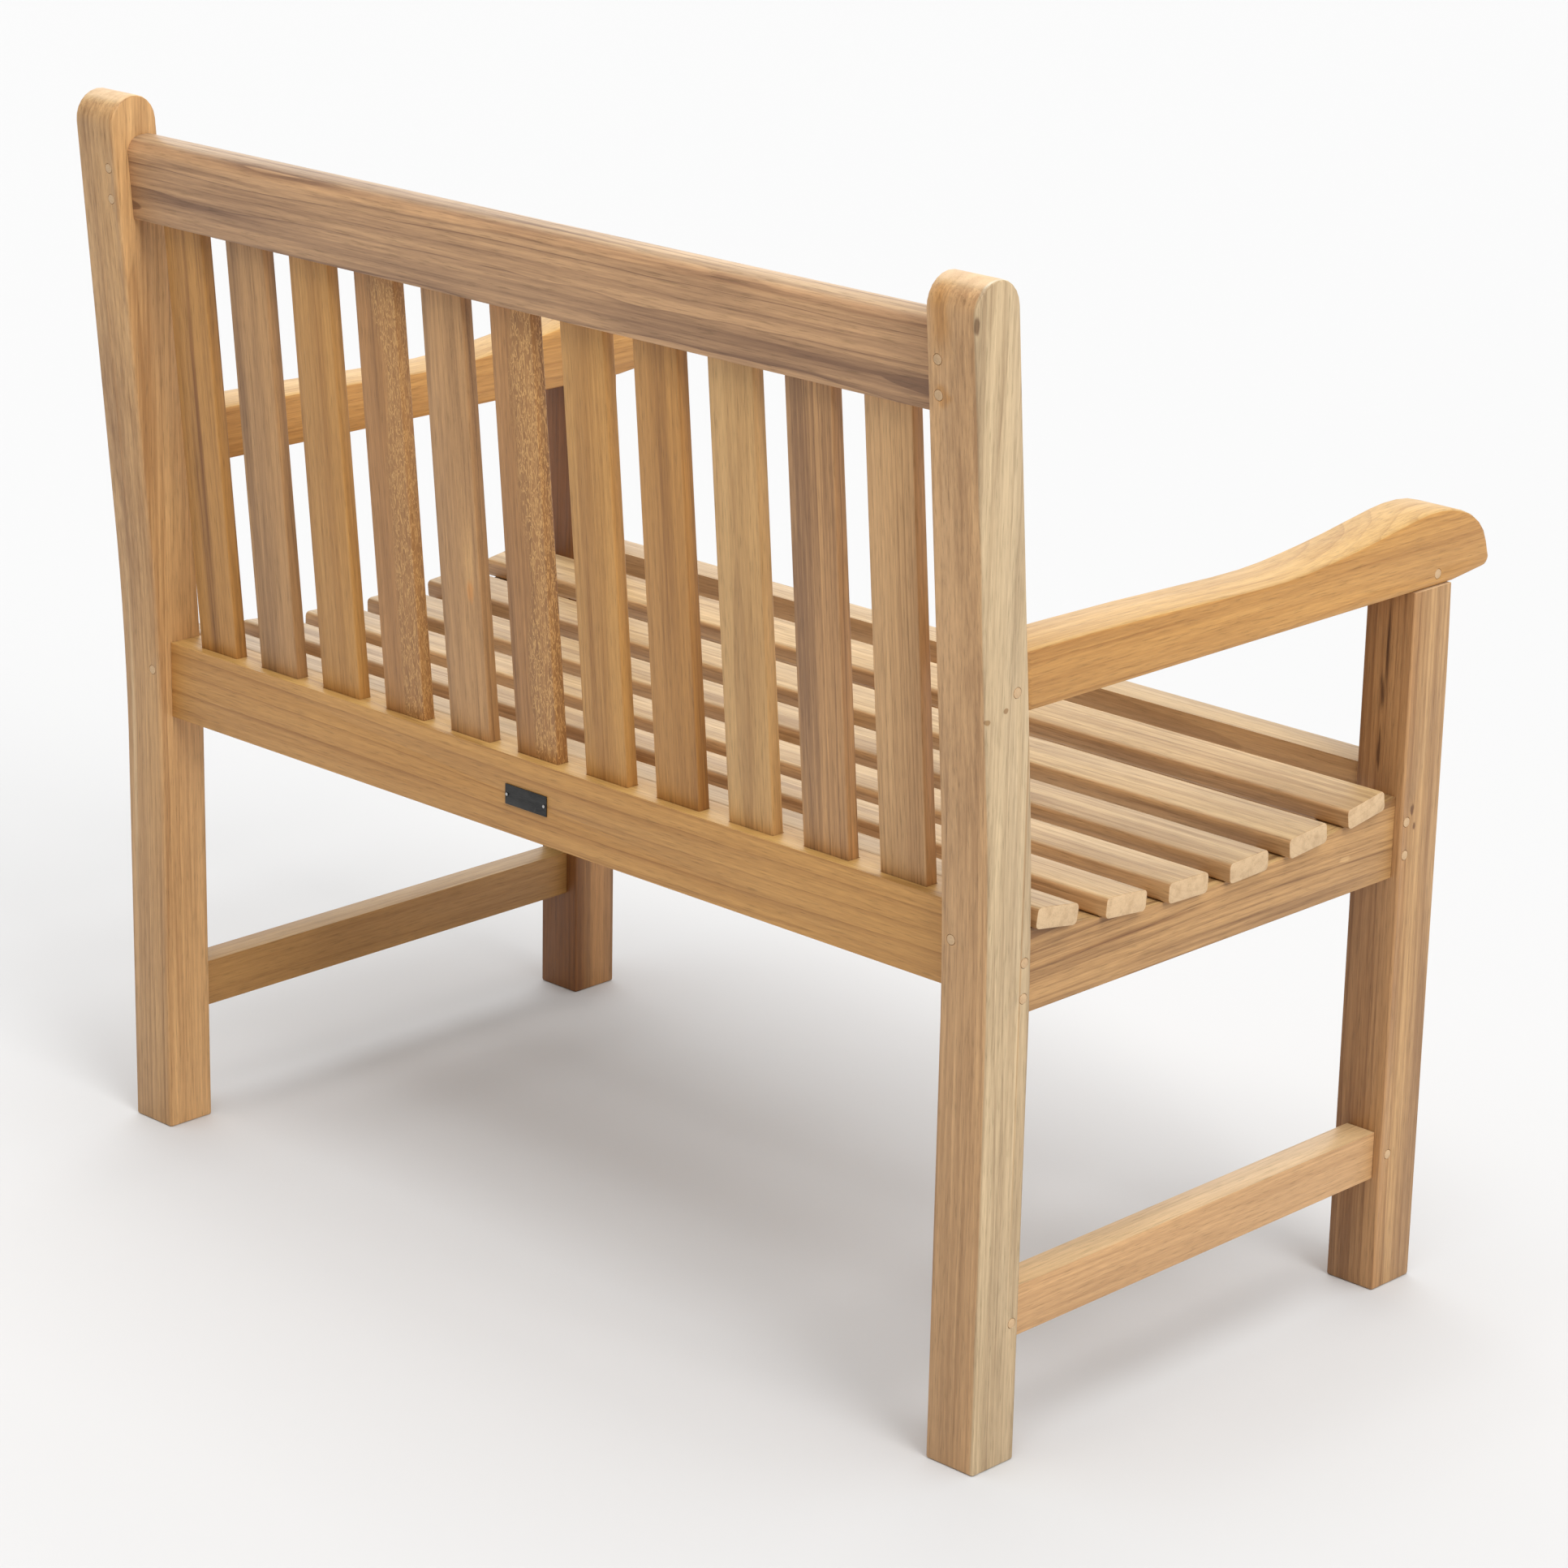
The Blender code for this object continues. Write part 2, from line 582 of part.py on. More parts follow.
def armrest(side_name, side):
    """Straight underneath, with a waved top that ends in a blunt nose beyond the leg."""
    rear_top = ARM_CROWN[0][1]
    overhang = arm_underside(FRONT_LEG_FRONT)
    outline = [
        (rear_leg_front(rear_top) - FIT_GAP, rear_top),
        (rear_leg_front(ARM_UNDERSIDE) - FIT_GAP, ARM_UNDERSIDE),
        (FRONT_LEG_FRONT, overhang),
    ]
    for step in range(NOSE_STEPS + 1):
        angle = pi / 2 * step / NOSE_STEPS
        across = ARM_NOSE_DEPTH + ARM_NOSE_ROUND * (1 - sin(angle))
        outline.append((across, overhang + ARM_NOSE_LIFT + ARM_NOSE_ROUND * (1 - cos(angle))))
    outline += reversed(smooth_through(ARM_CROWN, 2))
    bm = bmesh.new()
    add_prism(bm, outline, around(side * ARM_CENTRE, ARM_WIDTH))
    arm = new_object(f"armrest_{side_name}", bm)
    ease(arm, ARM_EASE)
    add_tenons(arm, [arm_rear_tenon(side)])
    cut_pockets(arm, [front_leg_top_tenon(side)])
    drill(arm, ("arm_rear", "arm_front"), side_name)
    finish(arm, (side * ARM_CENTRE, FRONT_LEG_REAR, ARM_UNDERSIDE), GOLDEN_TEAK)


# Back

def back_slat_box(number):
    """A slat with the ends that stand in the rails. Slat 1 is the leftmost."""
    gap = (2 * REAR_LEG_INNER - BACK_SLAT_COUNT * BACK_SLAT_WIDTH) / (BACK_SLAT_COUNT + 1)
    middle = BACK_SLAT_SHIFT + ((BACK_SLAT_COUNT + 1) / 2 - number) * (gap + BACK_SLAT_WIDTH)
    low = along_back(BOTTOM_RAIL_TOP) - SLAT_POCKET_DEPTH
    high = along_back(TOP_RAIL_BOTTOM) + SLAT_POCKET_DEPTH
    across = around(middle, BACK_SLAT_WIDTH)
    return (across, around(-BACK_SLAT_DEPTH, BACK_SLAT_THICKNESS), (low, high)), BACK_PLANE


def back_slat(number):
    ranges, frame = back_slat_box(number)
    centre = Vector([sum(r) / 2 for r in ranges])
    bm = bmesh.new()
    ring = rounded_rectangle(BACK_SLAT_WIDTH, BACK_SLAT_THICKNESS, BACK_SLAT_ROUND, 2)
    lower, upper = [[bm.verts.new(frame @ (centre + Vector((x, y, z - centre.z)))) for x, y in ring]
                    for z in ranges[2]]
    bm.faces.new(lower)
    bm.faces.new(upper)
    for i, lower_vertex in enumerate(lower):
        j = (i + 1) % len(ring)
        bm.faces.new((lower_vertex, lower[j], upper[j], upper[i]))
    slat = new_object(f"back_slat_{number:02d}", bm)
    finish(slat, frame @ centre, BACK_SLAT_TONES[number - 1], frame=frame)


def back_slat_boxes():
    return [back_slat_box(number) for number in range(1, BACK_SLAT_COUNT + 1)]


def back_top_rail():
    """A tilted rail with a rounded top and a row of pockets beneath for the slats."""
    bottom = along_back(TOP_RAIL_BOTTOM)
    outline = [(y, bottom) for y in around(TOP_RAIL_MIDDLE, TOP_RAIL_THICKNESS)]
    for step in range(ROUND_STEPS + 1):
        across = cos(pi * step / ROUND_STEPS)
        drop = TOP_RAIL_CROWN * across ** 2 + TOP_RAIL_SHOULDER * across ** 4
        y = TOP_RAIL_MIDDLE + across * TOP_RAIL_THICKNESS / 2
        outline.append((y, bottom + TOP_RAIL_HEIGHT - drop))
    end = REAR_LEG_INNER - FIT_GAP
    bm = bmesh.new()
    add_prism(bm, outline, (-end, end), BACK_PLANE)
    rail = new_object("back_top_rail", bm)
    add_tenons(rail, [top_rail_tenon(side) for _, side in SIDES])
    cut_pockets(rail, back_slat_boxes())
    drill(rail, ("top_rail",))
    finish(rail, BACK_PLANE @ Vector((0, TOP_RAIL_MIDDLE, bottom)), ROSE_TEAK, frame=BACK_PLANE)


def back_bottom_rail():
    """The wide board at seat height that the back slats stand in."""
    end = REAR_LEG_INNER - FIT_GAP
    deep = around(BOTTOM_RAIL_MIDDLE, BOTTOM_RAIL_THICKNESS)
    bm = bmesh.new()
    add_box(bm, ((-end, end), deep, (BOTTOM_RAIL_BOTTOM, BOTTOM_RAIL_TOP)))
    rail = new_object("back_bottom_rail", bm)
    add_tenons(rail, [bottom_rail_tenon(side) for _, side in SIDES])
    cut_pockets(rail, [*back_slat_boxes(), bearer_rear_tenon()])
    drill(rail, ("bottom_rail",))
    pin_holes = bmesh.new()
    for _, (x, y, z) in plate_pins():
        add_plate_hole(pin_holes, (x, y + PLATE_PIN_LENGTH, z), (x, y - PLATE_PIN_LENGTH - FIT_GAP, z))
    shape_with(rail, "pin_holes", pin_holes, "DIFFERENCE")
    finish(rail, (0, BOTTOM_RAIL_MIDDLE, BOTTOM_RAIL_BOTTOM), GOLDEN_TEAK)


# Seat

def front_seat_rail():
    end = FRONT_LEG_INNER - FIT_GAP
    deep = around(FRONT_RAIL_MIDDLE, FRONT_RAIL_THICKNESS)
    bm = bmesh.new()
    add_box(bm, ((-end, end), deep, (FRONT_RAIL_BOTTOM, FRONT_RAIL_TOP)))
    rail = new_object("front_seat_rail", bm)
    add_tenons(rail, [front_rail_tenon(side) for _, side in SIDES])
    cut_pockets(rail, [bearer_front_tenon()])
    drill(rail, ("front_rail",))
    finish(rail, (0, FRONT_RAIL_MIDDLE, FRONT_RAIL_BOTTOM), ROSE_TEAK)


def centre_seat_bearer():
    """Carries the middle of every seat slat, with the same dished top as the side rails."""
    rear = BOTTOM_RAIL_FRONT - FIT_GAP
    front = FRONT_RAIL_REAR + FIT_GAP
    outline = [(rear, BEARER_BOTTOM), (front, BEARER_BOTTOM), *dished_top(rear, front)]
    bm = bmesh.new()
    add_prism(bm, outline, around(0, BEARER_WIDTH))
    bearer = new_object("centre_seat_bearer", bm)
    add_tenons(bearer, [bearer_rear_tenon(), bearer_front_tenon()])
    finish(bearer, (0, SEAT_LOW_DEPTH, BEARER_BOTTOM), BROWN_TEAK)


def seat_slat(number):
    """Slat 1 is the rearmost. Each lies on the dish as a chord of it."""
    y = SEAT_REAR_SLAT_DEPTH
    if number > 1:
        y = SEAT_SECOND_SLAT_DEPTH - (number - 2) * SEAT_SLAT_PITCH
    rear = seat_curve(y + SEAT_SLAT_WIDTH / 2)
    front = seat_curve(y - SEAT_SLAT_WIDTH / 2)
    centre = Vector((0, y, (rear + front) / 2 + SEAT_SLAT_THICKNESS / 2 + FIT_GAP))
    slope = Matrix.Rotation(atan((rear - front) / SEAT_SLAT_WIDTH), 4, "X")
    ring = rounded_rectangle(SEAT_SLAT_WIDTH, SEAT_SLAT_THICKNESS, SEAT_SLAT_ROUND, 3)
    bm = bmesh.new()
    add_prism(bm, ring, (-HALF, HALF), Matrix.Translation(centre) @ slope)
    slat = new_object(f"seat_slat_{number}", bm)
    finish(slat, centre, LIGHT_TEAK, frame=slope)


# Name plate

def plate_pins():
    """Each pin's side and the point where its axis meets the rail's back face."""
    for side_name, side in SIDES:
        x = PLATE_CENTRE_X + side * PLATE_PIN_SPREAD / 2
        yield side_name, (x, -BOTTOM_RAIL_INSET, PLATE_CENTRE_Z)


def add_plate_hole(bm, start, end):
    add_rod(bm, start, end, PLATE_PIN_RADIUS + FIT_GAP, PLATE_PIN_SIDES)


def name_plate():
    """A small blank plate on the bottom back rail, held by two pins."""
    inner = -BOTTOM_RAIL_INSET + FIT_GAP
    outer = inner + PLATE_THICKNESS
    bm = bmesh.new()
    add_box(bm, (
        around(PLATE_CENTRE_X, PLATE_WIDTH),
        (inner, outer),
        around(PLATE_CENTRE_Z, PLATE_HEIGHT),
    ))
    plate = new_object("name_plate", bm)
    holes = bmesh.new()
    for _, (x, y, z) in plate_pins():
        add_plate_hole(holes, (x, y - PLATE_THICKNESS, z), (x, outer + PLATE_THICKNESS, z))
    shape_with(plate, "pin_holes", holes, "DIFFERENCE")
    finish(plate, (PLATE_CENTRE_X, inner, PLATE_CENTRE_Z), CHARCOAL, 0.4)


def name_plate_pin(side_name, root):
    """A round head on the plate, with a shank through it into the rail."""
    x, y, z = root
    under_head = -BOTTOM_RAIL_INSET + 2 * FIT_GAP + PLATE_THICKNESS
    top = under_head + PLATE_PIN_HEAD
    bm = bmesh.new()
    add_rod(bm, (x, under_head, z), (x, top, z), PLATE_PIN_HEAD_RADIUS, PLATE_PIN_SIDES)
    pin = new_object(f"name_plate_pin_{side_name}", bm)
    shank = bmesh.new()
    middle_of_head = (under_head + top) / 2
    add_rod(shank, (x, y - PLATE_PIN_LENGTH, z), (x, middle_of_head, z), PLATE_PIN_RADIUS, PLATE_PIN_SIDES)
    shape_with(pin, "shank", shank, "UNION")
    finish(pin, (x, under_head, z), STEEL, 0.35, 1.0)


PEGS = all_pegs()
clear_scene()
bench = bpy.data.objects.new("garden_bench", None)
bpy.context.scene.collection.objects.link(bench)

for side_name, side in SIDES:
    rear_leg(side_name, side)
    front_leg(side_name, side)
    side_seat_rail(side_name, side)
    side_stretcher(side_name, side)
    armrest(side_name, side)
back_top_rail()
back_bottom_rail()
front_seat_rail()
centre_seat_bearer()
for number in range(1, BACK_SLAT_COUNT + 1):
    back_slat(number)
for number in range(1, SEAT_SLAT_COUNT + 1):
    seat_slat(number)
name_plate()
for side_name, root in plate_pins():
    name_plate_pin(side_name, root)
for side_name, joint, number, ends in PEGS:
    peg(side_name, joint, number, ends)
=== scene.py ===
"""Looks of the teak garden bench: a finely edged piece for each CAD node, each board with its own wood."""

from math import atan, cos, radians, sin

import bmesh
import bpy
from mathutils import Matrix, Vector


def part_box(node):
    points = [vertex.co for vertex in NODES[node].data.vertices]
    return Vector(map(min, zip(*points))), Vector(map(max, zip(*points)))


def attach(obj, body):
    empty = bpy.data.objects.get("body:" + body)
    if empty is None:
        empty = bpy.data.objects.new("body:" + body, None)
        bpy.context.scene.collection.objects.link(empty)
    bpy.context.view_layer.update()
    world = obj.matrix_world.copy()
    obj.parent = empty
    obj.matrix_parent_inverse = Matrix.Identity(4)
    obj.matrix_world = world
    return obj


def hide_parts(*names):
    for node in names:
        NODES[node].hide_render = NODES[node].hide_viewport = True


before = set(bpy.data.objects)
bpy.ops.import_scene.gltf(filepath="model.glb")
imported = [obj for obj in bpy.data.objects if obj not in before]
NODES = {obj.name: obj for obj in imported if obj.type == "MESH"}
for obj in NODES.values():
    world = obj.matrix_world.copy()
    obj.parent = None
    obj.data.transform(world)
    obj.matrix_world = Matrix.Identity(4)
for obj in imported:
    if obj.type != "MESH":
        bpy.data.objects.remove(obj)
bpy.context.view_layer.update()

SIDES = ("left", "right")

# Camera, at the photographed viewing angle
CAMERA_PLACE = (-2.60729, 2.71219, 1.60056)
CAMERA_YAW = radians(-46.407)
CAMERA_PITCH = radians(-18.130)
CAMERA_ROLL = radians(1.2027)
CAMERA_LENS = 108.24

BACK_TILT = atan(0.086)         # lean of the back

# Light
WORLD_STRENGTH = 0.42
KEY_TOWARD = (-0.80, 0.16, 0.58)
KEY_STRENGTH = 1.4
TOP_TOWARD = (-0.1, 0.1, 1.0)
TOP_STRENGTH = 2.3
BACK_TOWARD = (0.70, -0.60, 0.42)
BACK_STRENGTH = 1.1

# Pieces
WELD = 0.00002
FLAT_ANGLE = radians(0.4)       # faces closer to one plane than this are made one
CORNER_ANGLE = radians(34)      # edges sharper than this are softened
SHADING_ANGLE = radians(38)     # and those sharper than this stay crisp in shading
SOFT_EDGE = 0.0005
PEG_EDGE = 0.0003
PLATE_EDGE = 0.0002
PIN_EDGE = 0.0001

# Room and camera
FLOOR_HALF_SIZE = 30.0
FLOOR_TONE = 0.62
SENSOR_WIDTH = 36.0
FAR_CLIP = 100.0

# Wood surface
WOOD_GLOSS = 0.5
WOOD_BUMP = 0.35
WOOD_RELIEF = 0.0006            # metres
END_TINT = (0.80, 0.62, 0.40)   # end grain lies halfway from the light wood to this
PEG_END = (0.62, 0.42, 0.235)
# Painted light: the tint that makes faces looking up paler, as if lit from above
PAINTED_TOP_LIGHT = (1.03, 1.20, 1.34, 1.0)
FLECK_TINT = (0.80, 0.50, 0.19, 1)

# Noise frequencies per metre, along the grain and then twice across it
SLOW_BEND = (1.6, 9.0, 9.0)
SMALL_WAVE = (9.0, 40.0, 40.0)
BROAD_STREAK = (1.3, 55.0, 55.0)
FINE_STREAK = (6.0, 330.0, 330.0)
HAIR_STREAK = (55.0, 850.0, 850.0)
CLOUD = (5.0, 22.0, 22.0)
LACE = (90.0, 380.0, 380.0)
END_BLOTCH = (60.0, 120.0, 120.0)
END_DOT = (300.0, 900.0, 900.0)
RAGGED_SIDE = (5.0, 90.0, 90.0)

# The same for the metal, along X and then twice across it
PLATE_BRUSHED = (150.0, 2500.0, 2500.0)
PLATE_WORN = (90.0, 90.0, 90.0)
PIN_GRAIN = (1500.0, 1500.0, 1500.0)


# ---------------------------------------------------------------- small helpers

def middle(node):
    low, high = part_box(node)
    return (low + high) / 2


class Graph:
    """Short names for making nodes in one tree."""

    def __init__(self, tree):
        self.tree = tree

    def put(self, socket, value):
        if isinstance(value, bpy.types.NodeSocket):
            self.tree.links.new(value, socket)
        else:
            socket.default_value = value

    def math(self, operation, a, b=0.0, c=0.0, clamp=False):
        node = self.tree.nodes.new("ShaderNodeMath")
        node.operation = operation
        node.use_clamp = clamp
        for socket, value in zip(node.inputs, (a, b, c)):
            self.put(socket, value)
        return node.outputs[0]

    def vector(self, operation, a, b=(0.0, 0.0, 0.0), scale=1.0):
        node = self.tree.nodes.new("ShaderNodeVectorMath")
        node.operation = operation
        self.put(node.inputs[0], a)
        self.put(node.inputs[1], b)
        if operation == "SCALE":
            self.put(node.inputs["Scale"], scale)
        return node.outputs["Value" if operation in ("LENGTH", "DOT_PRODUCT") else "Vector"]

    def noise(self, vector, seed, detail=2.0, roughness=0.5, distortion=0.0, scale=1.0):
        node = self.tree.nodes.new("ShaderNodeTexNoise")
        node.noise_dimensions = "4D"
        self.put(node.inputs["Vector"], vector)
        self.put(node.inputs["W"], seed)
        self.put(node.inputs["Scale"], scale)
        self.put(node.inputs["Detail"], detail)
        self.put(node.inputs["Roughness"], roughness)
        self.put(node.inputs["Distortion"], distortion)
        return node.outputs

    def ramp(self, value, low, high, to_low=0.0, to_high=1.0):
        node = self.tree.nodes.new("ShaderNodeMapRange")
        node.interpolation_type = "SMOOTHSTEP"
        for name, number in zip(
            ("Value", "From Min", "From Max", "To Min", "To Max"),
            (value, low, high, to_low, to_high),
        ):
            self.put(node.inputs[name], number)
        return node.outputs[0]

    def mix(self, factor, a, b, blend="MIX"):
        node = self.tree.nodes.new("ShaderNodeMix")
        node.data_type = "RGBA"
        node.blend_type = blend
        self.put(node.inputs["Factor"], factor)
        self.put(node.inputs[6], a)
        self.put(node.inputs[7], b)
        return node.outputs[2]

    def split(self, vector):
        node = self.tree.nodes.new("ShaderNodeSeparateXYZ")
        self.put(node.inputs[0], vector)
        return node.outputs

    def join(self, x, y, z):
        node = self.tree.nodes.new("ShaderNodeCombineXYZ")
        for socket, value in zip(node.inputs, (x, y, z)):
            self.put(socket, value)
        return node.outputs[0]


# ---------------------------------------------------------------- teak

def teak_group():
    """Sawn teak around a pith that runs along X: rings, streaks, pores, ray fleck and end grain, and painted
    light that makes faces looking up paler.
    """
    tree = bpy.data.node_groups.new("teak", "ShaderNodeTree")
    face = tree.interface
    for name, kind, default in (
        ("Place", "NodeSocketVector", None),
        ("Facing", "NodeSocketVector", None),
        ("Seed", "NodeSocketFloat", 0.0),
        ("Pith Y", "NodeSocketFloat", 0.0),
        ("Pith Z", "NodeSocketFloat", 0.05),
        ("Ring", "NodeSocketFloat", 0.006),
        ("Wander", "NodeSocketFloat", 0.012),
        ("Lines", "NodeSocketFloat", 0.5),
        ("Streaks", "NodeSocketFloat", 0.5),
        ("Fleck", "NodeSocketFloat", 0.0),
        ("Sharp", "NodeSocketFloat", 3.5),
        ("Up", "NodeSocketFloat", 0.0),
        ("Light", "NodeSocketColor", (0.5, 0.3, 0.15, 1)),
        ("Dark", "NodeSocketColor", (0.3, 0.17, 0.08, 1)),
        ("End", "NodeSocketColor", (0.6, 0.45, 0.3, 1)),
    ):
        socket = face.new_socket(name, in_out="INPUT", socket_type=kind)
        if default is not None:
            socket.default_value = default
    for name, kind in (
        ("Color", "NodeSocketColor"),
        ("Roughness", "NodeSocketFloat"),
        ("Height", "NodeSocketFloat"),
    ):
        face.new_socket(name, in_out="OUTPUT", socket_type=kind)
    g = Graph(tree)
    given = tree.nodes.new("NodeGroupInput").outputs
    out = tree.nodes.new("NodeGroupOutput").inputs
    seed = given["Seed"]
    place = given["Place"]

    # The log: slow bends of its axis, then small waves
    slow = g.noise(g.vector("MULTIPLY", place, SLOW_BEND), seed, detail=1.0)["Color"]
    slow = g.vector("SUBTRACT", slow, (0.5, 0.5, 0.5))
    wave = g.noise(g.vector("MULTIPLY", place, SMALL_WAVE), seed, detail=1.0)["Color"]
    wave = g.vector("SUBTRACT", wave, (0.5, 0.5, 0.5))
    bent = g.vector("SCALE", slow, scale=given["Wander"])
    bent = g.vector("SCALE", bent, scale=2.0)
    bent = g.vector("ADD", bent, g.vector("SCALE", wave, scale=0.0035))
    moved = g.split(g.vector("ADD", place, bent))
    across = g.math("SUBTRACT", moved[1], given["Pith Y"])
    deep = g.math("SUBTRACT", moved[2], given["Pith Z"])
    radius = g.vector("LENGTH", g.join(0.0, across, deep))
    turns = g.math("DIVIDE", radius, given["Ring"])
    uneven = g.noise(g.join(g.math("MULTIPLY", turns, 0.7), 0.0, 0.0), seed, detail=1.0)["Fac"]
    turns = g.math("ADD", turns, g.math("MULTIPLY", uneven, 1.6))
    part = g.math("FRACT", turns)
    late = g.math("POWER", part, given["Sharp"])
    edge = g.ramp(part, 0.97, 1.0, 1.0, 0.0)
    ring = g.math("MULTIPLY", late, edge)
    strong = g.noise(g.join(g.math("FLOOR", turns), 0.0, 0.0), seed, detail=0.0, scale=1.37)["Fac"]
    ring = g.math("MULTIPLY", ring, g.ramp(strong, 0.3, 0.65, 0.25, 1.0))

    # Long streaks at three widths, and open pores
    broad = g.noise(g.vector("MULTIPLY", place, BROAD_STREAK), seed, detail=3.0)["Fac"]
    fine = g.noise(g.vector("MULTIPLY", place, FINE_STREAK), seed, detail=3.0, roughness=0.6)["Fac"]
    hair = g.noise(g.vector("MULTIPLY", place, HAIR_STREAK), seed, detail=2.0, roughness=0.6)["Fac"]
    pores = g.ramp(hair, 0.58, 0.68)

    # Cloudy changes along and across the board
    cloud = g.noise(g.vector("MULTIPLY", place, CLOUD), seed, detail=2.0, distortion=0.6)["Fac"]

    shade = g.math("MULTIPLY", ring, given["Lines"])
    streaky = g.math("MULTIPLY", g.math("SUBTRACT", broad, 0.46), given["Streaks"])
    shade = g.math("MULTIPLY_ADD", streaky, 3.2, shade)
    finely = g.math("MULTIPLY_ADD", given["Streaks"], 1.3, 0.8)
    shade = g.math("MULTIPLY_ADD", g.math("SUBTRACT", fine, 0.5), finely, shade)
    shade = g.math("ADD", shade, g.math("MULTIPLY", g.math("SUBTRACT", cloud, 0.5), 0.55))
    shade = g.math("ADD", shade, 0.22, clamp=True)
    color = g.mix(shade, given["Light"], given["Dark"])
    grain = g.math("MULTIPLY_ADD", g.math("SUBTRACT", hair, 0.5), -0.55, 1.0)
    grain = g.math("MULTIPLY", grain, g.math("MULTIPLY_ADD", pores, -0.12, 1.0))
    color = g.mix(1.0, color, g.join(grain, grain, g.math("MULTIPLY_ADD", pores, -0.05, grain)), "MULTIPLY")

    # Ray fleck: fine pale lace, drawn out along the grain, over part of the face
    curl = g.noise(g.vector("MULTIPLY", place, LACE), seed, detail=2.0, distortion=1.2)["Fac"]
    lace = g.ramp(g.math("ABSOLUTE", g.math("SUBTRACT", curl, 0.5)), 0.01, 0.06, 1.0, 0.0)
    patch = g.noise(g.vector("MULTIPLY", place, SMALL_WAVE), seed, detail=1.0)["Fac"]
    side = g.math("MULTIPLY_ADD", g.math("SUBTRACT", patch, 0.5), 0.05, g.split(place)[1])
    within = g.math("MULTIPLY", g.ramp(side, 0.006, -0.006), given["Fleck"])
    color = g.mix(g.math("MULTIPLY", within, 0.35), color, given["Dark"])
    fleck_color = g.mix(0.4, given["Light"], FLECK_TINT)
    color = g.mix(g.math("MULTIPLY", lace, within), color, fleck_color)

    # Faces that look up are paler: painted light from above
    lit_top = g.mix(1.0, color, PAINTED_TOP_LIGHT, "MULTIPLY")
    color = g.mix(g.ramp(given["Up"], 0.55, 0.95), color, lit_top)

    # End grain, where the face looks along the fibres: pale and blotchy
    along = g.math("ABSOLUTE", g.split(given["Facing"])[0])
    ended = g.ramp(along, 0.72, 0.9)
    blotch = g.noise(g.vector("MULTIPLY", place, END_BLOTCH), seed, detail=4.0)["Fac"]
    dots = g.noise(g.vector("MULTIPLY", place, END_DOT), seed, detail=1.0)["Fac"]
    blotches = g.ramp(blotch, 0.40, 0.75, 0.0, 0.34)
    end_shade = g.math("ADD", blotches, g.math("MULTIPLY", ring, 0.16), clamp=True)
    end_color = g.mix(end_shade, given["End"], given["Dark"])
    speck = g.ramp(dots, 0.5, 0.75, 1.0, 0.86)
    end_color = g.mix(1.0, end_color, g.join(speck, speck, speck), "MULTIPLY")
    color = g.mix(ended, color, end_color)
    g.put(out["Color"], color)

    rough = g.math("MULTIPLY_ADD", g.math("SUBTRACT", fine, 0.5), 0.25, 0.48)
    g.put(out["Roughness"], g.math("MULTIPLY_ADD", ended, 0.15, rough, clamp=True))
    height = g.math("MULTIPLY_ADD", hair, -0.5, g.math("MULTIPLY", fine, 0.6))
    height = g.math("MULTIPLY_ADD", pores, -0.5, height)
    g.put(out["Height"], g.math("MULTIPLY_ADD", ring, 0.25, height))
    return tree


TEAK = teak_group()

# What turns the bench's axes into a board's own: X along the grain, Y across its widest face, Z through it
GRAIN_X = Matrix(((1, 0, 0), (0, 0, 1), (0, 1, 0)))             # rails: Y up, Z deep
GRAIN_Y = Matrix(((0, 1, 0), (0, 0, 1), (1, 0, 0)))             # side pieces: Y up, Z across
GRAIN_Z = Matrix(((0, 0, 1), (1, 0, 0), (0, 1, 0)))             # uprights: Y across, Z deep
GRAIN_SEAT = Matrix(((1, 0, 0), (0, 1, 0), (0, 0, 1)))          # seat slats: Y across, Z up
GRAIN_ARM = Matrix(((0, 1, 0), (1, 0, 0), (0, 0, 1)))           # armrests: Y across, Z up


def leaned(turn):
    """The same for a board that leans back with the bench's back."""
    return turn @ Matrix.Rotation(BACK_TILT, 3, "X")


def teak(name, origin, turn, seed, light, dark, end=None, pith=(0.0, 0.05), ring=0.006,
         wander=0.012, lines=0.5, streaks=0.5, fleck=0.0, sharp=3.5, extra=()):
    """One board's wood. Its pith lies at pith, in metres across and through from the board's middle."""
    made = bpy.data.materials.new(name)
    made.use_nodes = True
    tree = made.node_tree
    g = Graph(tree)
    shader = tree.nodes["Principled BSDF"]
    coords = tree.nodes.new("ShaderNodeTexCoord")
    centred = g.vector("SUBTRACT", coords.outputs["Object"], tuple(origin))
    place = g.join(*[g.vector("DOT_PRODUCT", centred, tuple(row)) for row in turn])
    facing = g.join(*[g.vector("DOT_PRODUCT", coords.outputs["Normal"], tuple(row)) for row in turn])
    wood = tree.nodes.new("ShaderNodeGroup")
    wood.node_tree = TEAK
    end = end or [0.5 * (a + b) for a, b in zip(light, END_TINT)]
    for socket, value in (
        ("Place", place), ("Facing", facing), ("Seed", seed), ("Pith Y", pith[0]), ("Pith Z", pith[1]),
        ("Ring", ring), ("Wander", wander), ("Lines", lines), ("Streaks", streaks), ("Fleck", fleck),
        ("Sharp", sharp), ("Up", g.split(coords.outputs["Normal"])[2]),
        ("Light", (*light, 1.0)), ("Dark", (*dark, 1.0)), ("End", (*end, 1.0)),
    ):
        g.put(wood.inputs[socket], value)
    color = wood.outputs["Color"]
    for mark in extra:
        color = mark(g, color, place)
    g.put(shader.inputs["Base Color"], color)
    g.put(shader.inputs["Roughness"], wood.outputs["Roughness"])
    shader.inputs["Specular IOR Level"].default_value = WOOD_GLOSS
    bump = tree.nodes.new("ShaderNodeBump")
    bump.inputs["Strength"].default_value = WOOD_BUMP
    bump.inputs["Distance"].default_value = WOOD_RELIEF
    g.put(bump.inputs["Height"], wood.outputs["Height"])
    g.put(shader.inputs["Normal"], bump.outputs["Normal"])
    made.diffuse_color = (*light, 1.0)
    return made


# ---------------------------------------------------------------- pieces

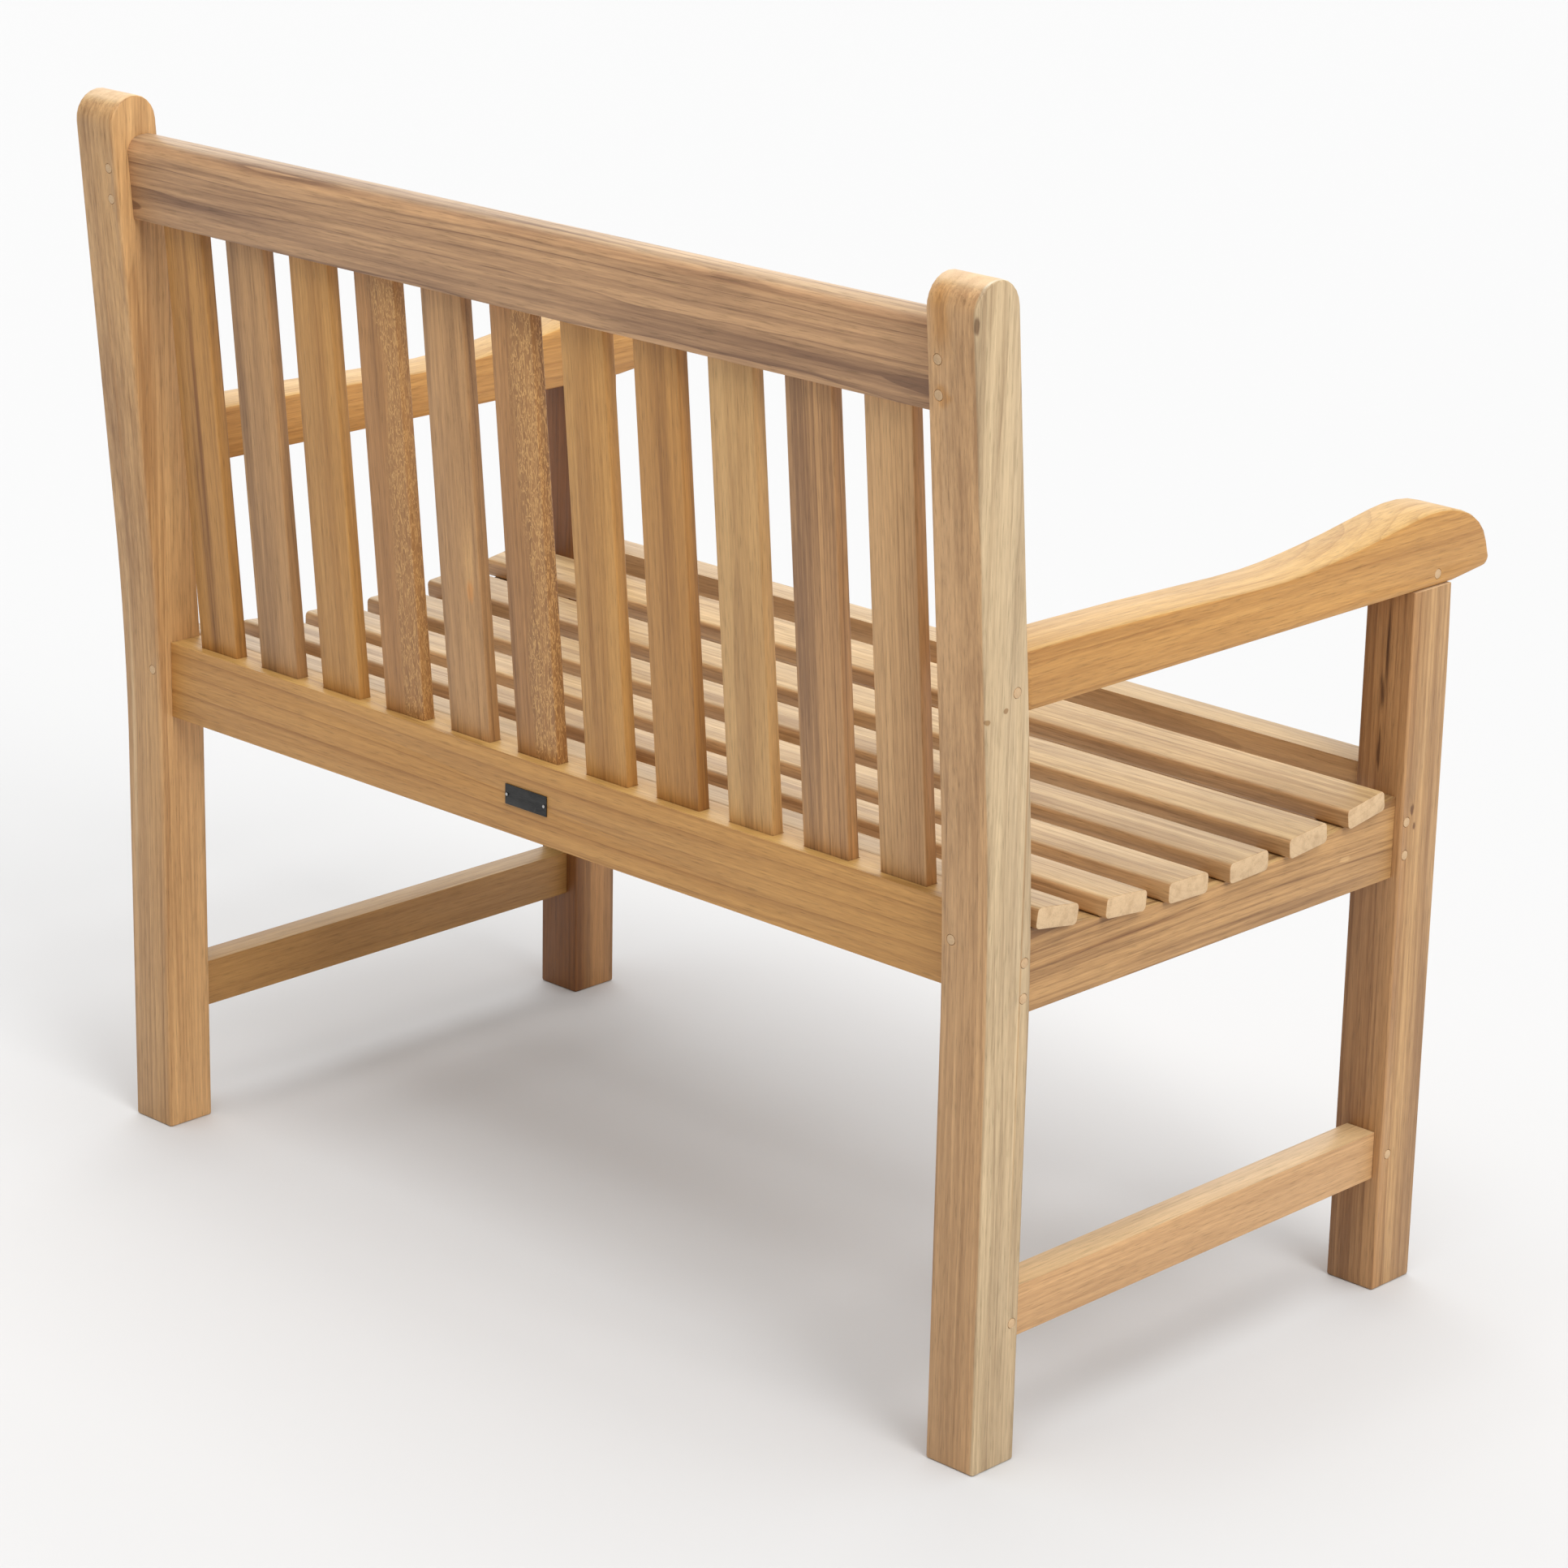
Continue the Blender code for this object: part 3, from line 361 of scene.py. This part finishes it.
def board(node, soft=SOFT_EDGE):
    """The CAD board with its faces made whole again and every sharp edge lightly sanded."""
    bm = bmesh.new()
    bm.from_mesh(NODES[node].data)
    bmesh.ops.remove_doubles(bm, verts=bm.verts, dist=WELD)
    bmesh.ops.dissolve_limit(bm, angle_limit=FLAT_ANGLE, verts=bm.verts, edges=bm.edges)
    sharp = [e for e in bm.edges if len(e.link_faces) == 2 and e.calc_face_angle(0.0) > CORNER_ANGLE]
    bmesh.ops.bevel(
        bm, geom=sharp, offset=soft, segments=2, profile=0.6, affect="EDGES",
        clamp_overlap=True, loop_slide=False,
    )
    mesh = bpy.data.meshes.new(f"{node}_board")
    bm.to_mesh(mesh)
    bm.free()
    mesh.shade_smooth()
    mesh.set_sharp_from_angle(angle=SHADING_ANGLE)
    piece = bpy.data.objects.new(f"{node}_board", mesh)
    bpy.context.scene.collection.objects.link(piece)
    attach(piece, "root")
    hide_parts(node)
    return piece


def dress(node, made, soft=SOFT_EDGE):
    piece = board(node, soft)
    piece.data.materials.append(made)
    return piece


def side_painted_light(second, axis, start, end, ragged_by=0.012):
    """Painted light on one side of the board: a second colour multiplies it, paler where that face is lit
    and darker where it lies in shade.
    """
    def mark(g, color, place):
        ragged = g.noise(g.vector("MULTIPLY", place, RAGGED_SIDE), 7.0, detail=3.0)["Fac"]
        at = g.math("MULTIPLY_ADD", g.math("SUBTRACT", ragged, 0.5), ragged_by, g.split(place)[axis])
        painted_side = g.mix(1.0, color, (*second, 1.0), "MULTIPLY")
        return g.mix(g.ramp(at, start, end), color, painted_side)
    return mark


def spot(centre, size, tone, ragged=0.8, soft=0.5):
    """A small knot, crack or patch: an ellipsoid in the board's own axes where the colour is multiplied."""
    def mark(g, color, place):
        off = g.vector("SUBTRACT", place, centre)
        off = g.vector("DIVIDE", off, size)
        rough = g.noise(g.vector("DIVIDE", place, size), 3.0, detail=3.0, scale=0.9)["Color"]
        shaken = g.vector("SUBTRACT", rough, (0.5, 0.5, 0.5))
        off = g.vector("ADD", off, g.vector("SCALE", shaken, scale=ragged))
        share = g.ramp(g.vector("LENGTH", off), 1.0, 1.0 - soft)
        return g.mix(share, color, g.mix(1.0, color, (*tone, 1.0), "MULTIPLY"))
    return mark


# Woods: light and dark
GOLD = ((0.57, 0.295, 0.085), (0.34, 0.15, 0.036))
AMBER = ((0.53, 0.26, 0.07), (0.28, 0.12, 0.03))
TAN = ((0.58, 0.34, 0.148), (0.33, 0.17, 0.066))
PINK = ((0.53, 0.29, 0.118), (0.24, 0.12, 0.05))
ROSE = ((0.58, 0.335, 0.165), (0.23, 0.118, 0.06))
BROWN = ((0.48, 0.232, 0.075), (0.22, 0.10, 0.033))
PALE = ((0.62, 0.365, 0.168), (0.38, 0.205, 0.088))
HONEY = ((0.65, 0.385, 0.150), (0.40, 0.21, 0.075))
STRIPED = ((0.60, 0.335, 0.130), (0.28, 0.135, 0.046))

DARK_MARK = (0.42, 0.34, 0.28)
CRACK = (0.30, 0.24, 0.20)
PALE_MARK = (1.25, 1.35, 1.5)
AMBER_MARK = (0.92, 0.78, 0.52)

# Marks: centre and size along the grain, across and through the board, then tone
POST_MARKS = (
    spot((0.430, -0.0235, 0.0415), (0.008, 0.003, 0.003), DARK_MARK, 0.6),
    spot((0.1385, -0.024, 0.0164), (0.0025, 0.004, 0.0035), (0.66, 0.54, 0.40), 0.3, 0.3),
    spot((0.1435, -0.024, -0.0031), (0.0025, 0.004, 0.003), (0.60, 0.48, 0.36), 0.3, 0.3),
    spot((0.435, 0.012, 0.043), (0.050, 0.014, 0.020), AMBER_MARK, 1.4, 0.8),
    spot((0.375, 0.010, 0.038), (0.010, 0.010, 0.012), AMBER_MARK, 1.2, 0.6),
    spot((0.0, -0.024, -0.030), (0.45, 0.004, 0.0016), (0.80, 0.68, 0.55), 0.6, 0.9),
)
FRONT_LEG_MARKS = (
    spot((0.245, 0.000, 0.025), (0.045, 0.0020, 0.004), CRACK, 1.5, 0.7),
    spot((0.200, 0.003, 0.025), (0.022, 0.0028, 0.004), CRACK, 1.5, 0.8),
    spot((0.150, 0.003, 0.025), (0.022, 0.0022, 0.004), CRACK, 1.4, 0.6),
    spot((0.105, -0.0235, 0.012), (0.006, 0.004, 0.003), DARK_MARK, 1.0, 0.5),
    spot((0.090, -0.0235, 0.008), (0.004, 0.004, 0.002), DARK_MARK, 1.0, 0.5),
)
FAR_POST_MARKS = (
    spot((-0.10, 0.014, 0.012), (0.22, 0.004, 0.030), (1.08, 1.22, 1.45), 1.2, 0.9),
    spot((0.20, 0.004, 0.030), (0.20, 0.004, 0.030), (0.95, 0.88, 0.78), 1.2, 0.9),
)
RAIL_MARKS = (
    spot((0.11, 0.000, -0.014), (0.14, 0.004, 0.010), (0.70, 0.60, 0.50), 1.2, 0.9),
    spot((-0.16, -0.004, -0.014), (0.010, 0.003, 0.010), PALE_MARK, 1.6, 0.5),
)
PATCH_MARKS = (
    spot((-0.030, -0.012, 0.006), (0.060, 0.010, 0.010), (1.35, 1.40, 1.38), 1.2, 0.8),
    spot((-0.062, -0.012, 0.006), (0.012, 0.006, 0.010), (1.15, 0.95, 0.70), 1.0, 0.7),
)
STREAK_MARKS = (
    spot((0.03, 0.000, 0.006), (0.17, 0.0035, 0.010), (0.68, 0.58, 0.50), 0.9, 0.9),
)
SLAT_MARKS = {1: STREAK_MARKS, 5: PATCH_MARKS}

# Back slats, left to right: wood, brightness, pith, ring width, lines, streaks, ray fleck
BACK_SLATS = (
    (AMBER, 0.92, (0.03, 0.05), 0.007, 0.35, 0.9, 0.0),
    (PINK, 0.92, (-0.01, 0.035), 0.005, 0.4, 0.7, 0.0),
    (GOLD, 1.0, (0.05, 0.02), 0.004, 0.3, 0.5, 0.0),
    (BROWN, 1.05, (0.06, 0.01), 0.004, 0.2, 0.45, 0.9),
    (PINK, 1.04, (0.01, 0.03), 0.005, 0.5, 0.6, 0.1),
    (BROWN, 1.08, (0.07, 0.0), 0.004, 0.2, 0.45, 1.0),
    (GOLD, 1.02, (0.06, 0.02), 0.004, 0.4, 0.6, 0.1),
    (AMBER, 1.0, (0.03, 0.04), 0.006, 0.4, 0.6, 0.0),
    (HONEY, 1.0, (0.0, 0.03), 0.006, 0.5, 0.4, 0.0),
    (PINK, 1.18, (0.02, 0.03), 0.0045, 0.8, 0.8, 0.0),
    (TAN, 1.12, (0.04, 0.012), 0.0035, 0.7, 0.6, 0.0),
)


# Seat slats, front to back: brightness
SEAT_BRIGHTNESS = (0.90, 1.0, 0.95, 0.89, 0.91, 0.99)


def wood(node, woods, turn, seed, bright=1.0, **more):
    light, dark = [tuple(c * bright for c in tone) for tone in woods]
    return dress(node, teak(node, middle(node), turn, seed, light, dark, **more))


def build_back():
    for i, (woods, bright, pith, ring, lines, streaks, fleck) in enumerate(BACK_SLATS, 1):
        wood(f"back_slat_{i:02d}", woods, leaned(GRAIN_Z), 3.0 + 1.7 * i, bright,
             pith=pith, ring=ring, lines=lines, streaks=streaks, fleck=fleck, sharp=5.0,
             extra=SLAT_MARKS.get(i, ()))
    wood("back_top_rail", ROSE, leaned(GRAIN_X), 1.3,
         pith=(-0.02, -0.03), ring=0.0042, wander=0.010, lines=1.0, streaks=0.8, sharp=6.0)
    wood("back_bottom_rail", GOLD, GRAIN_X, 8.1,
         pith=(-0.024, 0.020), ring=0.014, wander=0.016, lines=0.9, streaks=0.3, sharp=10.0)


def build_legs():
    # The legs' side colours are painted light: the rear posts' -X faces paler where the key light falls, the
    # front legs' rear faces darker as painted shade
    wood("rear_leg_right", PALE, GRAIN_Z, 19.0, pith=(0.04, 0.03), ring=0.006, lines=0.55, streaks=0.85,
         extra=(side_painted_light((1.02, 1.28, 1.62), 1, -0.0205, -0.0228, 0.003), *POST_MARKS))
    wood("rear_leg_left", TAN, GRAIN_Z, 21.0, pith=(0.04, 0.03), ring=0.006, lines=0.5, streaks=0.8,
         extra=(side_painted_light((1.18, 1.16, 1.10), 1, -0.018, -0.022, 0.004), *FAR_POST_MARKS))
    wood("front_leg_right", TAN, GRAIN_Z, 23.0, 0.97, pith=(0.03, 0.04), ring=0.006, lines=0.6, streaks=1.0,
         extra=(side_painted_light((0.84, 0.76, 0.70), 2, 0.008, 0.023), *FRONT_LEG_MARKS))
    wood("front_leg_left", BROWN, GRAIN_Z, 25.0, 1.05, pith=(0.03, 0.04), ring=0.006, lines=0.4, streaks=0.6,
         extra=(side_painted_light((0.49, 0.38, 0.25), 2, 0.005, 0.020),))


def build_sides():
    for side, sign, rail, low, arm in (("left", 1, TAN, GOLD, GOLD), ("right", -1, STRIPED, PALE, GOLD)):
        wood(f"side_seat_rail_{side}", rail, GRAIN_Y, 30.0 + sign, 0.88, pith=(0.05, 0.02), ring=0.007,
             lines=0.7, streaks=1.3, sharp=5.0, extra=RAIL_MARKS if sign < 0 else ())
        wood(f"side_stretcher_{side}", low, GRAIN_Y, 34.0 + sign, 0.75 if sign > 0 else 1.04,
             pith=(0.03, 0.03), ring=0.006, lines=0.35, streaks=0.45)
        wood(f"armrest_{side}", arm, GRAIN_ARM, 38.0 + sign, 1.02, pith=(0.03, -0.06), ring=0.006,
             lines=0.45, streaks=0.45, sharp=6.0)


def build_seat():
    for i, bright in enumerate(SEAT_BRIGHTNESS, 1):
        wood(f"seat_slat_{i}", TAN, GRAIN_SEAT, 50.0 + 2.3 * i, bright, pith=(0.02 * (-1) ** i, 0.05),
             ring=0.005, lines=0.5, streaks=0.9)
    wood("front_seat_rail", TAN, GRAIN_X, 70.0, 0.92, pith=(0.02, 0.05), ring=0.005)
    wood("centre_seat_bearer", BROWN, GRAIN_Y, 72.0, pith=(0.02, 0.05), ring=0.005)


def build_pegs():
    for k, node in enumerate(sorted(n for n in NODES if "_peg_" in n)):
        low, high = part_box(node)
        across = high.x - low.x > high.y - low.y
        turn = GRAIN_SEAT if across else GRAIN_ARM
        dress(node, teak(node, middle(node), turn, 90.0 + 1.9 * k, *PALE, end=PEG_END,
                         pith=(0.004, 0.02), ring=0.002), PEG_EDGE)


def build_plate():
    made = bpy.data.materials.new("name_plate")
    made.use_nodes = True
    tree = made.node_tree
    g = Graph(tree)
    shader = tree.nodes["Principled BSDF"]
    coords = tree.nodes.new("ShaderNodeTexCoord").outputs["Object"]
    brushed = g.noise(g.vector("MULTIPLY", coords, PLATE_BRUSHED), 2.0, detail=3.0)["Fac"]
    worn = g.noise(g.vector("MULTIPLY", coords, PLATE_WORN), 5.0, detail=4.0)["Fac"]
    color = g.mix(g.ramp(brushed, 0.35, 0.7), (0.014, 0.014, 0.014, 1), (0.032, 0.031, 0.029, 1))
    color = g.mix(g.ramp(worn, 0.62, 0.72, 0.0, 0.5), color, (0.11, 0.105, 0.10, 1))
    g.put(shader.inputs["Base Color"], color)
    shader.inputs["Metallic"].default_value = 0.4
    g.put(shader.inputs["Roughness"], g.ramp(worn, 0.3, 0.7, 0.35, 0.5))
    bump = tree.nodes.new("ShaderNodeBump")
    bump.inputs["Strength"].default_value = 0.2
    bump.inputs["Distance"].default_value = 0.0002
    g.put(bump.inputs["Height"], brushed)
    g.put(shader.inputs["Normal"], bump.outputs["Normal"])
    dress("name_plate", made, PLATE_EDGE)
    steel = bpy.data.materials.new("plate_pin")
    steel.use_nodes = True
    tree = steel.node_tree
    g = Graph(tree)
    shader = tree.nodes["Principled BSDF"]
    coords = tree.nodes.new("ShaderNodeTexCoord").outputs["Object"]
    spots = g.noise(g.vector("MULTIPLY", coords, PIN_GRAIN), 1.0, detail=3.0)["Fac"]
    g.put(shader.inputs["Base Color"], g.mix(spots, (0.60, 0.59, 0.57, 1), (0.35, 0.34, 0.33, 1)))
    shader.inputs["Metallic"].default_value = 1.0
    g.put(shader.inputs["Roughness"], g.ramp(spots, 0.3, 0.7, 0.3, 0.5))
    for side in SIDES:
        dress(f"name_plate_pin_{side}", steel, PIN_EDGE)


# ---------------------------------------------------------------- room, light and camera

def build_floor():
    bm = bmesh.new()
    bmesh.ops.create_grid(bm, x_segments=1, y_segments=1, size=FLOOR_HALF_SIZE)
    mesh = bpy.data.meshes.new("floor")
    bm.to_mesh(mesh)
    bm.free()
    floor = bpy.data.objects.new("floor", mesh)
    bpy.context.scene.collection.objects.link(floor)
    made = bpy.data.materials.new("floor")
    made.use_nodes = True
    shader = made.node_tree.nodes["Principled BSDF"]
    shader.inputs["Base Color"].default_value = (FLOOR_TONE, FLOOR_TONE, FLOOR_TONE, 1)
    shader.inputs["Roughness"].default_value = 0.9
    shader.inputs["Specular IOR Level"].default_value = 0.1
    mesh.materials.append(made)


def soft_sun(name, toward, strength, spread):
    """Even light from a direction, as from a large softbox far away."""
    data = bpy.data.lights.new(name, "SUN")
    data.energy = strength
    data.angle = radians(spread)
    lamp = bpy.data.objects.new(name, data)
    lamp.rotation_euler = (-Vector(toward)).to_track_quat("-Z", "Y").to_euler()
    bpy.context.scene.collection.objects.link(lamp)


def build_light():
    world = bpy.data.worlds.new("studio")
    bpy.context.scene.world = world
    world.use_nodes = True
    world.node_tree.nodes["Background"].inputs["Color"].default_value = (1, 1, 1, 1)
    world.node_tree.nodes["Background"].inputs["Strength"].default_value = WORLD_STRENGTH
    soft_sun("key", KEY_TOWARD, KEY_STRENGTH, 30)
    soft_sun("top", TOP_TOWARD, TOP_STRENGTH, 60)
    soft_sun("back", BACK_TOWARD, BACK_STRENGTH, 60)


def build_camera():
    level = cos(CAMERA_PITCH)
    forward = Vector((level * cos(CAMERA_YAW), level * sin(CAMERA_YAW), sin(CAMERA_PITCH)))
    right = forward.cross(Vector((0, 0, 1))).normalized()
    up = right.cross(forward)
    rolled_right = cos(CAMERA_ROLL) * right + sin(CAMERA_ROLL) * up
    rolled_up = cos(CAMERA_ROLL) * up - sin(CAMERA_ROLL) * right
    turn = Matrix((rolled_right, rolled_up, -forward)).transposed().to_4x4()
    data = bpy.data.cameras.new("camera")
    data.lens = CAMERA_LENS
    data.sensor_width = SENSOR_WIDTH
    data.clip_end = FAR_CLIP
    camera = bpy.data.objects.new("camera", data)
    camera.matrix_world = Matrix.Translation(CAMERA_PLACE) @ turn
    bpy.context.scene.collection.objects.link(camera)
    bpy.context.scene.camera = camera
    bpy.context.scene.view_settings.view_transform = "Standard"


build_camera()
build_light()
build_floor()
build_back()
build_legs()
build_sides()
build_seat()
build_pegs()
build_plate()
